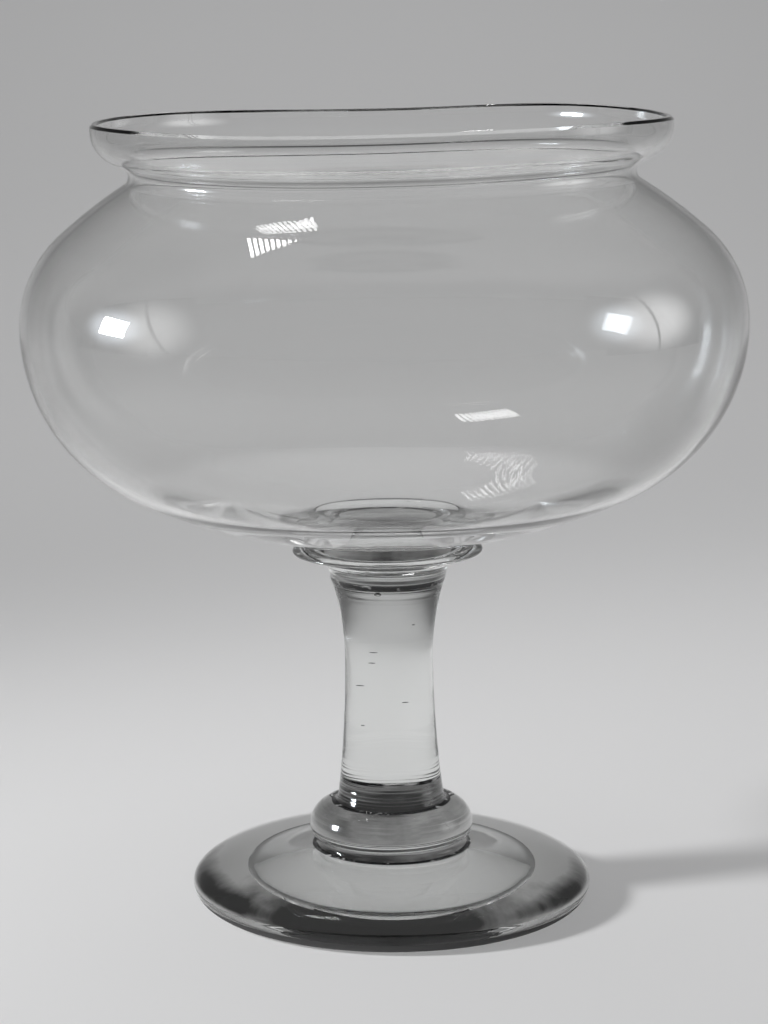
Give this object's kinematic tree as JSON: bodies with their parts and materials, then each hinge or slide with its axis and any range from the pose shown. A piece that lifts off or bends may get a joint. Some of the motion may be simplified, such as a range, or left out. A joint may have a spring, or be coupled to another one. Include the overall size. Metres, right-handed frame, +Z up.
{
  "type": "footed glass bowl",
  "caption": "Footed bowl in clear hand-blown glass: a bulging bowl with a cupped lip on a collar, waisted stem, cushion knop and thick rounded foot.",
  "frame": {"origin": "centre of the ring that the foot stands on, on the table", "axes": "+Z up out of the bowl, -Y towards the viewer, and the stem leans slightly towards -X"},
  "size_m": [0.2279, 0.228, 0.2513],
  "materials": {
    "blown_glass": "fire-polished, clear, with a ground rim",
    "solid_glass": "fire-polished, clear, slightly grey where thick"
  },
  "bodies": {
    "root": {"foot": "solid_glass", "foot_collar": "solid_glass", "knop": "solid_glass", "stem": "solid_glass", "bowl_collar": "solid_glass", "bowl": "blown_glass"}
  },
  "joints": []
}
